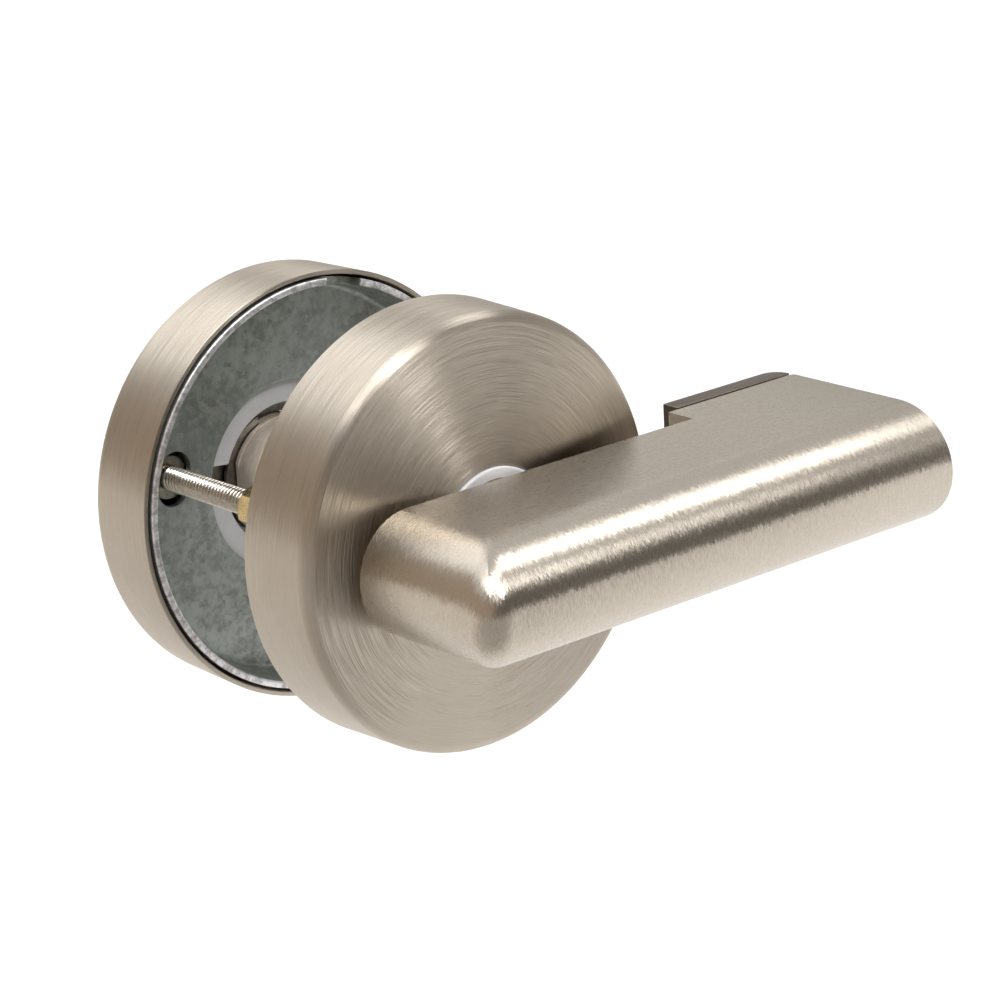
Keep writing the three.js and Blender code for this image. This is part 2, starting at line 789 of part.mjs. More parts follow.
const handle = new THREE.Group();
handle.name = 'door_lever_handle';
handle.add(front.group, rear.group, lever(), makeSpindle('spindle'));

export default handle;
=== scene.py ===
"""Door lever handle: brushed nickel lever and roses, and the hardware that joins them through a door.

Metres. +Z is up, the lever points along +X, and the spindle lies along Y. The front half faces -Y.
Distances called "out" are measured from the middle of the door towards the outside of either half.
"""

import math

import bmesh
import bpy
from mathutils import Matrix, Vector


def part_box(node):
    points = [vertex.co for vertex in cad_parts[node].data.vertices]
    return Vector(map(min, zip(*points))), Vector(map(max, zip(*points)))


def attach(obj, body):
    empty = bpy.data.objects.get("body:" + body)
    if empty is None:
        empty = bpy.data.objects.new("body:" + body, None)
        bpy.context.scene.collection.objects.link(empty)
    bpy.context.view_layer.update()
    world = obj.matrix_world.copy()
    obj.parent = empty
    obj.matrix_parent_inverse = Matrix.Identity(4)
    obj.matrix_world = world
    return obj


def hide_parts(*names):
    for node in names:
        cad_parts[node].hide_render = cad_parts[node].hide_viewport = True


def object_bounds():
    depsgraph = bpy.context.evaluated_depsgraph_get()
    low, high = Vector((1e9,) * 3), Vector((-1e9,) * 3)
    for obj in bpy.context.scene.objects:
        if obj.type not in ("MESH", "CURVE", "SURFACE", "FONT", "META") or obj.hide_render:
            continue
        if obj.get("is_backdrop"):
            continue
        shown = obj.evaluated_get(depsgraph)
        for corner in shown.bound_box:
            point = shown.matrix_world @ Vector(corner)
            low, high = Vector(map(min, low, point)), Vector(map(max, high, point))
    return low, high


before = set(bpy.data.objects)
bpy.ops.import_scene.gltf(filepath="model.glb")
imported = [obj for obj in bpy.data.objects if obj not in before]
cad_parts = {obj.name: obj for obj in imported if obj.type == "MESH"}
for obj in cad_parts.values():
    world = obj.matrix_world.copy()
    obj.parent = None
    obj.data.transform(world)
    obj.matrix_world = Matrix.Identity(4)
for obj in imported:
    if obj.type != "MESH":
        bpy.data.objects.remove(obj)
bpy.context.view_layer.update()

MM = 0.001
FRONT = -1
REAR = 1
CLEAR = 0.3 * MM

ROSE_SIDES = 192
ROUND_SIDES = 128
SMALL_SIDES = 64
MERGE = 1e-6
SMOOTH_ANGLE = math.radians(32)

# ---------------------------------------------------------------- sizes

ROSE_RADIUS = 35.2 * MM
ROSE_SHOULDER_RADIUS = 34.85 * MM
ROSE_SHOULDER = 2.2 * MM
ROSE_FACE_RISE = 2.4 * MM
ROSE_HOLE = 11.5 * MM
ROSE_SHEET = 0.8 * MM
ROSE_EDGE = 0.16 * MM

DISH_RADIUS = 33.9 * MM
DISH_TAPER = 0.65 * MM
DISH_SHEET = 1.15 * MM
DISH_FILLET = 2.2 * MM
DISH_HOLE = 16 * MM
DISH_EDGE = 0.3 * MM
DISH_NOTCH_WIDTH = 7 * MM
DISH_NOTCH_DEPTH = 2.2 * MM
HARDWARE_TURN = math.radians(12)

BOLT_CIRCLE = 23.6 * MM
SLOT_WIDTH = 6 * MM
SLOT_LENGTH = 9 * MM

BUSH_BORE = 9.68 * MM
BUSH_RADIUS = 11.4 * MM
BUSH_FLANGE = 13.4 * MM
BUSH_FLANGE_HEIGHT = 1.6 * MM
BUSH_EDGE = 0.35 * MM
BUSH_BORE_EDGE = 0.06 * MM

CAGE_HOLE = 12 * MM
CAGE_RADIUS = 19.4 * MM
CAGE_WALL = 1.2 * MM
CAGE_FLOOR = 1.0 * MM
CAGE_NOTCH_LENGTH = 30 * MM
CAGE_NOTCH_WIDTH = 6.6 * MM
CAGE_NOTCH_TURN = math.radians(5)

HUB_RADIUS = 9.2 * MM
HUB_HEIGHT = 4.6 * MM
HUB_CHAMFER = 0.9 * MM
HUB_STUB = 6.6 * MM
SOCKET = 7.6 * MM
NECK_RADIUS = 9.6 * MM
NECK_FLAT = 8.9 * MM
GROOVE_RADIUS = 8.4 * MM
GROOVE_START = 0.7 * MM
GROOVE_WIDTH = 1.3 * MM
NECK_EDGE = 0.3 * MM
NECK_SINK = 0.6 * MM
STUB_EDGE = 0.4 * MM
SPINDLE_EDGE = 0.45 * MM
STUB_BORE = 6.9 * MM
CAP_SCREW_HOLE = 1.6 * MM
CAP_SCREW_HEAD_HOLE = 2.4 * MM
CAP_COUNTERBORE = 1.5 * MM

POST_HALF_FLATS = 3.4 * MM
POST_SHANK = 2.7 * MM
POST_BORE = 2.38 * MM
POST_RIVET = 3.8 * MM
POST_REACH = 21 * MM
POST_CHAMFER = 0.85 * MM
POST_TIP_EDGE = 0.35 * MM
POST_MOUTH = 0.35 * MM
POST_CORNER_SPARE = 0.02 * MM
POST_OVERLAP = 0.5 * MM
RIVET_UNDER_EDGE = 0.2 * MM
RIVET_RISE = 0.25 * MM
RIVET_TOP_EDGE = 0.3 * MM

SCREW_RADIUS = 2.08 * MM
THREAD_DEPTH = 0.46 * MM
THREAD_PITCH = 0.794 * MM
THREAD_EDGE = 0.04 * MM
THREAD_STEPS = 8
THREAD_SIDES = 40
SCREW_TIP_GAP = 0.2 * MM
SCREW_HEAD = 3.7 * MM
SCREW_HEAD_EDGE = 0.2 * MM
SCREW_HEAD_ROUND = 1.1 * MM
RECESS_WIDTH = 1.0 * MM
RECESS_LENGTH = 4.4 * MM
RECESS_DEPTH = 1.2 * MM

LEVER_HALF_HEIGHT = 9.9 * MM
LEVER_NOSE = 11.3 * MM
LEVER_CORNER = 4.4 * MM
LEVER_EDGE = 0.3 * MM
LEVER_BACK = 31.4 * MM
RETURN_START = 40.9 * MM
RETURN_BACK = 25.8 * MM
RETURN_CORNER = 0.6 * MM
LEVER_LEVELS = 28
CORE_HALF_HEIGHT = 4.7 * MM
CORE_START = 14 * MM
CORE_WALL = 3.8 * MM
CORE_FRONT_WALL = 5 * MM
CAP_CORNER = 3.2 * MM
CAP_EDGE = 0.45 * MM
CAP_SCREWS = ("upper_cap_screw", "lower_cap_screw")

UPRIGHT = (0, 0, 1)
SPINDLE = (0, 1, 0)
THROUGH_NOTCH = (math.sin(HARDWARE_TURN), 0, math.cos(HARDWARE_TURN))

# ---------------------------------------------------------------- places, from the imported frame


def out_range(node):
    """How near to and how far from the middle of the door a node reaches."""
    low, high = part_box(node)
    reach = sorted((abs(low.y), abs(high.y)))
    return reach[0], reach[1]


rose_rim, rose_face = out_range("front_rose")
rose_shoulder = rose_face - ROSE_FACE_RISE
dish_rim, dish_back = out_range("front_dish")
bush_plane, bush_top = out_range("front_bush")
cage_floor, cage_top = out_range("front_spring_cage")
hub_plane, rear_stub_end = out_range("rear_hub")
front_stub_end = out_range("front_hub")[1]
rivet_top = out_range("left_post")[1]
screw_head_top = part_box("left_through_screw")[1].y
screw_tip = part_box("left_through_screw")[0].y
lever_low, lever_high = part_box("lever_body")
cap_low, cap_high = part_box("lever_cap")
spindle_low, spindle_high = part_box("spindle")
lever_front = -lever_low.y
neck_end = -lever_high.y

# ---------------------------------------------------------------- bench tools


def deselect_all():
    if bpy.context.mode != "OBJECT":
        bpy.ops.object.mode_set(mode="OBJECT")
    bpy.ops.object.select_all(action="DESELECT")


def pick(piece):
    deselect_all()
    piece.select_set(True)
    bpy.context.view_layer.objects.active = piece


def place_in_mesh(piece):
    """Leaves the object at the origin, unturned and unscaled."""
    pick(piece)
    bpy.ops.object.transform_apply(location=True, rotation=True, scale=True)


def start_edit(piece, choose="SELECT"):
    pick(piece)
    bpy.ops.object.mode_set(mode="EDIT")
    bpy.ops.mesh.select_mode(type="VERT")
    bpy.ops.mesh.select_all(action=choose)


def choose_points(piece, test):
    """In edit mode, selects the points whose place passes the test, and what lies between them."""
    mesh = bmesh.from_edit_mesh(piece.data)
    for item in [*mesh.faces, *mesh.edges, *mesh.verts]:
        item.select = False
    for point in mesh.verts:
        point.select = bool(test(point.co))
    mesh.select_flush(True)
    bmesh.update_edit_mesh(piece.data)


def choose_edges(piece, test):
    """In edit mode, selects the edges whose two ends pass the test."""
    mesh = bmesh.from_edit_mesh(piece.data)
    for item in [*mesh.faces, *mesh.edges, *mesh.verts]:
        item.select = False
    for edge in mesh.edges:
        if test(edge.verts[0].co, edge.verts[1].co):
            edge.select = True
    mesh.select_flush_mode()
    bmesh.update_edit_mesh(piece.data)


def close_up(piece):
    """Merges doubles and turns the faces outwards."""
    start_edit(piece)
    bpy.ops.mesh.remove_doubles(threshold=MERGE)
    bpy.ops.mesh.select_all(action="SELECT")
    bpy.ops.mesh.normals_make_consistent(inside=False)
    deselect_all()


def arc(centre_radius, centre_out, radius, start, end, steps):
    """Points of a profile's rounding, in degrees from the radial direction towards the outside."""
    points = []
    for i in range(steps + 1):
        angle = math.radians(start + (end - start) * i / steps)
        points.append((centre_radius + radius * math.cos(angle), centre_out + radius * math.sin(angle)))
    return points


def turned(name, profile, side, sides=ROUND_SIDES, solid=False, centre=(0, 0)):
    """Turns a profile of (radius, out) points about the Y axis, drawing a circle out from one to the next."""
    radius, out = profile[0]
    x, z = centre
    deselect_all()
    bpy.ops.mesh.primitive_circle_add(
        vertices=sides,
        radius=radius,
        fill_type="NGON" if solid else "NOTHING",
        location=(x, side * out, z),
        rotation=(math.pi / 2, 0, 0),
    )
    piece = bpy.context.object
    piece.name = name
    place_in_mesh(piece)
    start_edit(piece)
    following = profile[1:] if solid else [*profile[1:], profile[0]]
    for next_radius, next_out in following:
        shift = {"value": (0, side * (next_out - out), 0)}
        if solid:
            bpy.ops.mesh.extrude_region_move(TRANSFORM_OT_translate=shift)
        else:
            bpy.ops.mesh.extrude_edges_move(TRANSFORM_OT_translate=shift)
        scale = next_radius / radius
        bpy.ops.transform.resize(value=(scale, 1, scale), center_override=(x, side * next_out, z))
        radius, out = next_radius, next_out
    close_up(piece)
    return piece


def block(name, low, high):
    low, high = Vector(low), Vector(high)
    deselect_all()
    bpy.ops.mesh.primitive_cube_add(size=1, location=(low + high) / 2)
    piece = bpy.context.object
    piece.name = name
    piece.scale = high - low
    place_in_mesh(piece)
    return piece


def rod(name, radius, low, high, axis="Y", centre=(0, 0, 0), sides=SMALL_SIDES):
    """A plain rod for cutting, from low to high along its axis."""
    deselect_all()
    turn = (math.pi / 2, 0, 0) if axis == "Y" else (0, 0, 0)
    middle = Vector(centre)
    middle["XYZ".index(axis)] = (low + high) / 2
    bpy.ops.mesh.primitive_cylinder_add(
        vertices=sides, radius=radius, depth=high - low, location=middle, rotation=turn
    )
    piece = bpy.context.object
    piece.name = name
    place_in_mesh(piece)
    return piece


def turn_about_spindle(piece, angle):
    pick(piece)
    piece.rotation_euler = (0, angle, 0)
    place_in_mesh(piece)
    return piece


def apply_modifier(piece, kind, **settings):
    """Adds a modifier, sets it and applies it."""
    pick(piece)
    bpy.ops.object.modifier_add(type=kind)
    modifier = piece.modifiers[-1]
    for key, value in settings.items():
        setattr(modifier, key, value)
    bpy.ops.object.modifier_apply(modifier=modifier.name)


def shape_with(piece, tool, operation="DIFFERENCE"):
    """Cuts, joins or trims a piece with another solid, which is used up."""
    apply_modifier(piece, "BOOLEAN", operation=operation, solver="EXACT", object=tool)
    bpy.data.objects.remove(tool)
    return piece


def soften(piece, width, segments=2, angle=35):
    """Rounds the edges that are sharper than the angle, in degrees."""
    limit = math.radians(angle)
    apply_modifier(piece, "BEVEL", width=width, segments=segments, limit_method="ANGLE", angle_limit=limit)


def turned_copy(piece, name, axis):
    """A copy with its own mesh, turned half way round an axis through the origin."""
    twin = piece.copy()
    twin.data = piece.data.copy()
    twin.name = name
    bpy.context.scene.collection.objects.link(twin)
    twin.matrix_world = Matrix.Rotation(math.pi, 4, Vector(axis))
    place_in_mesh(twin)
    return twin


def finish_piece(piece, body, slot, material, *nodes):
    """Gives a piece its finish, its body and the nodes that it stands for."""
    pick(piece)
    bpy.ops.object.shade_smooth_by_angle(angle=SMOOTH_ANGLE)
    piece.data.materials.clear()
    piece.data.materials.append(material)
    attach(piece, body)
    if nodes:
        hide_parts(*nodes)
    deselect_all()


# ---------------------------------------------------------------- shader tools


def add_node(tree, kind, inputs=None, **settings):
    """Adds a node; each input is a number, a colour or another node's output."""
    node = tree.nodes.new(kind)
    for key, value in settings.items():
        setattr(node, key, value)
    for key, value in (inputs or {}).items():
        if isinstance(value, bpy.types.NodeSocket):
            tree.links.new(value, node.inputs[key])
        else:
            node.inputs[key].default_value = value
    return node


def sums(tree, operation, *values):
    return add_node(tree, "ShaderNodeMath", dict(enumerate(values)), operation=operation).outputs[0]


def vectors(tree, operation, *values):
    node = add_node(tree, "ShaderNodeVectorMath", dict(enumerate(values)), operation=operation)
    return node.outputs["Value" if operation in ("LENGTH", "DOT_PRODUCT") else "Vector"]


def scaled(tree, vector, factor):
    node = add_node(tree, "ShaderNodeVectorMath", {0: vector, "Scale": factor}, operation="SCALE")
    return node.outputs["Vector"]


def combined(tree, x, y, z):
    return add_node(tree, "ShaderNodeCombineXYZ", {"X": x, "Y": y, "Z": z}).outputs[0]


def mixed(tree, factor, first, second):
    """Mixes two colours; the node keeps its colour sockets at 6 and 7, and their mix at 2."""
    return add_node(tree, "ShaderNodeMix", {0: factor, 6: first, 7: second}, data_type="RGBA").outputs[2]


def spread(tree, value, low, high, to_low=0.0, to_high=1.0):
    """Maps low..high smoothly onto to_low..to_high."""
    inputs = {"Value": value, "From Min": low, "From Max": high, "To Min": to_low, "To Max": to_high}
    return add_node(tree, "ShaderNodeMapRange", inputs, interpolation_type="SMOOTHSTEP").outputs[0]


def noise(tree, vector, scale=1.0, detail=2.0, roughness=0.55):
    inputs = {"Vector": vector, "Scale": scale, "Detail": detail, "Roughness": roughness}
    return add_node(tree, "ShaderNodeTexNoise", inputs).outputs["Fac"]


def new_group(name, inputs, outputs):
    """A shader node group with named inputs (with their usual values) and outputs."""
    group = bpy.data.node_groups.new(name, "ShaderNodeTree")
    kinds = {"value": "NodeSocketFloat", "colour": "NodeSocketColor", "vector": "NodeSocketVector"}
    for label, kind, default in inputs:
        socket = group.interface.new_socket(name=label, in_out="INPUT", socket_type=kinds[kind])
        socket.default_value = default
    for label, kind in outputs:
        group.interface.new_socket(name=label, in_out="OUTPUT", socket_type=kinds[kind])
    given = group.nodes.new("NodeGroupInput").outputs
    result = group.nodes.new("NodeGroupOutput").inputs
    return group, given, result


def use_group(tree, group, **values):
    node = tree.nodes.new("ShaderNodeGroup")
    node.node_tree = group
    for label, value in values.items():
        node.inputs[label.replace("_", " ")].default_value = value
    return node.outputs


def new_material(name):
    material = bpy.data.materials.new(name)
    material.use_nodes = True
    tree = material.node_tree
    return material, tree, tree.nodes["Principled BSDF"]


# ---------------------------------------------------------------- brushing

BRUSH_INPUTS = [
    ("Metal", "colour", (0.6, 0.54, 0.46, 1)),
    ("Groove", "colour", (0.4, 0.35, 0.29, 1)),
    ("Scratches per metre", "value", 4200.0),
    ("Streaks per metre", "value", 900.0),
    ("Scratch run", "value", 4.0),
    ("Tilt across", "value", 0.1),
    ("Tilt along", "value", 0.05),
    ("Smoothest", "value", 0.22),
    ("Roughest", "value", 0.36),
]
BRUSH_OUTPUTS = [("Colour", "colour"), ("Roughness", "value"), ("Normal", "vector")]
FACES_UP = 0.992
SLOW_RATE = 40.0


def brush_finish(tree, given, result, across, along, coordinate):
    """The colour, roughness and normals of a brushed surface, from directions and a coordinate.

    coordinate(rate, run) gives a place that changes quickly across the scratches and slowly along them.
    """
    fine = noise(tree, coordinate(given["Scratches per metre"], given["Scratch run"]), detail=2.5)
    streak = noise(tree, coordinate(given["Streaks per metre"], given["Scratch run"]), detail=3.0)
    other = vectors(tree, "ADD", coordinate(given["Streaks per metre"], given["Scratch run"]), (7.3, 3.1, 5.7))
    lean = noise(tree, other, detail=2.0)
    cloud = noise(tree, add_node(tree, "ShaderNodeTexCoord").outputs["Object"], scale=90.0, detail=2.0)

    marks = sums(tree, "ADD", sums(tree, "MULTIPLY", fine, 0.6), sums(tree, "MULTIPLY", streak, 0.4))
    depth = spread(tree, marks, 0.3, 0.62)
    shade = sums(tree, "MULTIPLY", depth, spread(tree, cloud, 0.3, 0.7, 0.75, 1.0))
    tree.links.new(mixed(tree, shade, given["Groove"], given["Metal"]), result["Colour"])

    limits = {"From Min": 0.3, "From Max": 0.7, "To Min": given["Smoothest"], "To Max": given["Roughest"]}
    rough = add_node(tree, "ShaderNodeMapRange", {"Value": streak, **limits}).outputs[0]
    tree.links.new(rough, result["Roughness"])

    sideways = sums(tree, "MULTIPLY", sums(tree, "SUBTRACT", fine, 0.5), given["Tilt across"])
    forwards = sums(tree, "MULTIPLY", sums(tree, "SUBTRACT", lean, 0.5), given["Tilt along"])
    normal = add_node(tree, "ShaderNodeNewGeometry").outputs["Normal"]
    leaning = vectors(tree, "ADD", scaled(tree, across, sideways), scaled(tree, along, forwards))
    tree.links.new(vectors(tree, "NORMALIZE", vectors(tree, "ADD", normal, leaning)), result["Normal"])


def to_world(tree, vector):
    """An object's own direction, as the world has it."""
    settings = {"vector_type": "VECTOR", "convert_from": "OBJECT", "convert_to": "WORLD"}
    return add_node(tree, "ShaderNodeVectorTransform", {0: vector}, **settings).outputs[0]


def turned_brushing():
    """Brushing that runs round the spindle, as a polishing belt leaves it on a turned part."""
    group, given, result = new_group("Turned brushing", BRUSH_INPUTS, BRUSH_OUTPUTS)
    place = add_node(group, "ShaderNodeTexCoord").outputs["Object"]
    parts = add_node(group, "ShaderNodeSeparateXYZ", {0: place}).outputs
    flat = combined(group, parts["X"], 0.0, parts["Z"])
    radial = vectors(group, "NORMALIZE", flat)
    out = sums(group, "ABSOLUTE", parts["Y"])
    run = sums(group, "SUBTRACT", out, vectors(group, "LENGTH", flat))
    round_spindle = to_world(group, vectors(group, "CROSS_PRODUCT", radial, (0, 1, 0)))
    normal = add_node(group, "ShaderNodeNewGeometry").outputs["Normal"]
    across = vectors(group, "CROSS_PRODUCT", normal, round_spindle)

    def coordinate(rate, length):
        ring = scaled(group, radial, length)
        return vectors(group, "ADD", ring, combined(group, 0.0, sums(group, "MULTIPLY", run, rate), 0.0))

    brush_finish(group, given, result, across, round_spindle, coordinate)
    return group


def nose_mask(tree):
    """1 where the lever curves round its long nose, 0 on its flats and round its tail."""
    facing = add_node(tree, "ShaderNodeTexCoord").outputs["Normal"]
    parts = add_node(tree, "ShaderNodeSeparateXYZ", {0: facing}).outputs
    sides, front, up = (sums(tree, "ABSOLUTE", parts[axis]) for axis in "XYZ")
    forward = sums(tree, "GREATER_THAN", sums(tree, "SUBTRACT", front, sides), 0.0)
    return sums(tree, "MULTIPLY", forward, sums(tree, "LESS_THAN", up, FACES_UP))


def wrapped_brushing():
    """Brushing along the flats of the lever and round its nose and its tail."""
    group, given, result = new_group("Wrapped brushing", BRUSH_INPUTS, BRUSH_OUTPUTS)
    place = add_node(group, "ShaderNodeTexCoord").outputs["Object"]
    parts = add_node(group, "ShaderNodeSeparateXYZ", {0: place}).outputs
    is_nose = nose_mask(group)
    axis = mixed(group, is_nose, (0, 1, 0, 1), (1, 0, 0, 1))
    normal = add_node(group, "ShaderNodeNewGeometry").outputs["Normal"]
    across = to_world(group, axis)
    along = vectors(group, "CROSS_PRODUCT", normal, across)

    def coordinate(rate, length):
        slow = sums(group, "MULTIPLY", length, SLOW_RATE)
        extra = sums(group, "SUBTRACT", rate, slow)
        x_rate = sums(group, "ADD", sums(group, "MULTIPLY", is_nose, extra), slow)
        y_rate = sums(group, "ADD", sums(group, "MULTIPLY", sums(group, "SUBTRACT", 1.0, is_nose), extra), slow)
        return combined(
            group,
            sums(group, "MULTIPLY", parts["X"], x_rate),
            sums(group, "MULTIPLY", parts["Y"], y_rate),
            sums(group, "MULTIPLY", parts["Z"], slow),
        )

    brush_finish(group, given, result, across, along, coordinate)
    return group


turned_group = turned_brushing()
wrapped_group = wrapped_brushing()


def brushed_metal(name, group, metal, groove, anisotropy, metallic, values):
    """A metal that takes its colour, roughness and normals from a brushing group."""
    material, tree, surface = new_material(name)
    made = use_group(tree, group, Metal=metal, Groove=groove, **values)
    tree.links.new(made["Colour"], surface.inputs["Base Color"])
    tree.links.new(made["Roughness"], surface.inputs["Roughness"])
    tree.links.new(made["Normal"], surface.inputs["Normal"])
    surface.inputs["Metallic"].default_value = metallic
    surface.inputs["Anisotropic"].default_value = anisotropy
    return material, tree, surface


def finish_turned(name, metal, groove, anisotropy=0.7, metallic=1.0, **values):
    """Brushed round the spindle."""
    material, tree, surface = brushed_metal(name, turned_group, metal, groove, anisotropy, metallic, values)
    surface.inputs["Anisotropic Rotation"].default_value = 0.25
    tangent = add_node(tree, "ShaderNodeTangent", direction_type="RADIAL", axis="Y").outputs[0]
    tree.links.new(tangent, surface.inputs["Tangent"])
    return material


def finish_wrapped(name, metal, groove, anisotropy=0.7, **values):
    """Brushed along the flats and round the ends."""
    material, tree, surface = brushed_metal(name, wrapped_group, metal, groove, anisotropy, 1.0, values)
    axis = to_world(tree, mixed(tree, nose_mask(tree), (0, 1, 0, 1), (1, 0, 0, 1)))
    tree.links.new(axis, surface.inputs["Tangent"])
    return material


# ---------------------------------------------------------------- finishes

NICKEL = (0.585, 0.53, 0.455, 1)
NICKEL_GROOVE = (0.43, 0.375, 0.31, 1)

rose_nickel = finish_turned(
    "Satin nickel rose", NICKEL, NICKEL_GROOVE, anisotropy=0.9,
    Scratches_per_metre=13000.0, Streaks_per_metre=2800.0, Scratch_run=3.5,
    Tilt_across=1.9, Tilt_along=0.03, Smoothest=0.32, Roughest=0.44,
)
lever_nickel = finish_wrapped(
    "Satin nickel lever", NICKEL, (0.52, 0.465, 0.395, 1), anisotropy=0.85,
    Scratches_per_metre=9000.0, Streaks_per_metre=8000.0, Scratch_run=24.0,
    Tilt_across=0.4, Tilt_along=0.36, Smoothest=0.25, Roughest=0.32,
)
# Painted shade: the cap has the lever's brushed nickel, painted darker because it sits in shade behind the
# lever's end.
cap_nickel = finish_wrapped(
    "Nickel cap with painted shade", (0.21, 0.182, 0.155, 1), (0.14, 0.12, 0.1, 1),
    Tilt_across=0.14, Tilt_along=0.06, Smoothest=0.34, Roughest=0.46,
)
plated_steel = finish_turned(
    "Plated steel", (0.82, 0.73, 0.63, 1), (0.62, 0.54, 0.46, 1), anisotropy=0.3, metallic=0.25,
    Tilt_across=0.06, Tilt_along=0.02, Smoothest=0.3, Roughest=0.42,
)


def cast_finish(name, colour, shade, metallic, roughness, scale, bump):
    """A plain worked or moulded surface: soft clouds of tone and a fine uneven skin."""
    material, tree, surface = new_material(name)
    place = add_node(tree, "ShaderNodeTexCoord").outputs["Object"]
    cloud = noise(tree, place, scale=scale, detail=4.0)
    skin = noise(tree, place, scale=scale * 6, detail=3.0)
    tone = mixed(tree, spread(tree, cloud, 0.32, 0.68), shade, colour)
    tree.links.new(tone, surface.inputs["Base Color"])
    tree.links.new(spread(tree, skin, 0.3, 0.7, roughness - 0.06, roughness + 0.08), surface.inputs["Roughness"])
    lumps = add_node(tree, "ShaderNodeBump", {"Height": skin, "Strength": 0.4, "Distance": bump})
    tree.links.new(lumps.outputs[0], surface.inputs["Normal"])
    surface.inputs["Metallic"].default_value = metallic
    return material


spring_steel = cast_finish("Spring steel", (0.4, 0.38, 0.35, 1), (0.26, 0.245, 0.23, 1), 1.0, 0.38, 700, 2e-5)
screw_nickel = cast_finish("Screw nickel", (0.66, 0.62, 0.54, 1), (0.5, 0.46, 0.39, 1), 1.0, 0.2, 900, 1e-5)
brass = cast_finish("Pale brass", (0.72, 0.58, 0.33, 1), (0.58, 0.44, 0.22, 1), 1.0, 0.22, 600, 1e-5)
nylon = cast_finish("White nylon", (0.72, 0.72, 0.74, 1), (0.66, 0.66, 0.68, 1), 0.0, 0.42, 160, 2e-5)
rubber = cast_finish("Black rubber", (0.012, 0.012, 0.012, 1), (0.006, 0.006, 0.006, 1), 0.0, 0.7, 500, 3e-5)


def galvanised_finish(name, with_painted_rim_highlight):
    """Zinc coated steel, mottled grey-green with small crystals, and on the dishes a painted highlight with
    glints along the rim.
    """
    material, tree, surface = new_material(name)
    place = add_node(tree, "ShaderNodeTexCoord").outputs["Object"]
    crystal = add_node(tree, "ShaderNodeTexVoronoi", {"Vector": place, "Scale": 900.0}).outputs["Color"]
    grey = add_node(tree, "ShaderNodeSeparateColor", {0: crystal}).outputs[0]
    grain = noise(tree, place, scale=750.0, detail=4.0, roughness=0.7)
    blotch = noise(tree, place, scale=210.0, detail=5.0, roughness=0.7)
    patch = noise(tree, place, scale=45.0, detail=3.0)
    speckle = sums(tree, "ADD", sums(tree, "MULTIPLY", grey, 0.12), sums(tree, "MULTIPLY", grain, 0.4))
    tone = sums(tree, "ADD", speckle, sums(tree, "MULTIPLY", blotch, 0.48))
    low = mixed(tree, spread(tree, patch, 0.35, 0.65), (0.25, 0.265, 0.235, 1), (0.33, 0.36, 0.345, 1))
    sheet = mixed(tree, spread(tree, tone, 0.38, 0.6), low, (0.43, 0.46, 0.435, 1))
    if with_painted_rim_highlight:
        out = sums(tree, "ABSOLUTE", add_node(tree, "ShaderNodeSeparateXYZ", {0: place}).outputs["Y"])
        # Painted highlight: the rim of the dish is painted near white, with speckled glints.
        rim = spread(tree, out, dish_rim + DISH_EDGE * 1.5, dish_rim + DISH_EDGE)
        rim_highlight_and_glints = mixed(tree, spread(tree, grain, 0.35, 0.6), (0.5, 0.48, 0.49, 1), (0.95, 0.93, 0.95, 1))
        sheet = mixed(tree, rim, sheet, rim_highlight_and_glints)
    tree.links.new(sheet, surface.inputs["Base Color"])
    tree.links.new(spread(tree, tone, 0.3, 0.7, 0.52, 0.38), surface.inputs["Roughness"])
    bumps = add_node(tree, "ShaderNodeBump", {"Height": tone, "Strength": 0.35, "Distance": 5e-5})
    tree.links.new(bumps.outputs[0], surface.inputs["Normal"])
    surface.inputs["Metallic"].default_value = 0.85
    return material


galvanised = galvanised_finish("Galvanised steel", False)
galvanised_dish = galvanised_finish("Galvanised dish with painted rim highlight", True)

# ---------------------------------------------------------------- roses


def make_rose(name, side):
    fillet_radius = ROSE_SHOULDER_RADIUS - ROSE_SHOULDER
    fillet_out = rose_shoulder - ROSE_SHOULDER
    inner = ROSE_SHOULDER - ROSE_SHEET
    slope = math.degrees(math.atan(ROSE_FACE_RISE / (fillet_radius - ROSE_HOLE)))
    under_face = rose_face - ROSE_SHEET
    profile = [
        (ROSE_RADIUS - ROSE_SHEET + ROSE_EDGE, rose_rim),
        *arc(ROSE_RADIUS - ROSE_EDGE, rose_rim + ROSE_EDGE, ROSE_EDGE, -90, 0, 3),
        *arc(fillet_radius, fillet_out, ROSE_SHOULDER, 0, 90 - slope, 12),
        *arc(ROSE_HOLE + ROSE_EDGE, rose_face - ROSE_EDGE, ROSE_EDGE, 90 - slope, 180, 3),
        (ROSE_HOLE, under_face),
        *arc(fillet_radius, fillet_out, inner, 90 - slope, 0, 6),
        (ROSE_RADIUS - ROSE_SHEET, rose_rim + ROSE_EDGE),
    ]
    return turned(name, profile, side, ROSE_SIDES)


front_rose = make_rose("front_rose_shell", FRONT)
rear_rose = turned_copy(front_rose, "rear_rose_shell", UPRIGHT)
finish_piece(front_rose, "front_housing", "satin_nickel", rose_nickel, "front_rose")
finish_piece(rear_rose, "rear_housing", "satin_nickel", rose_nickel, "rear_rose")

# ---------------------------------------------------------------- dishes


def slot_cutter(x, low, high):
    """An obround, upright before the hardware is turned."""
    cutter = rod("slot_cutter", SLOT_WIDTH / 2, low, high, centre=(x, 0, 0))
    reach = (SLOT_LENGTH - SLOT_WIDTH) / 2
    for way in (1, -1):
        start_edit(cutter, "DESELECT")
        choose_points(cutter, lambda place: place.z * way > MERGE)
        bpy.ops.transform.translate(value=(0, 0, way * reach))
    deselect_all()
    return turn_about_spindle(cutter, HARDWARE_TURN)


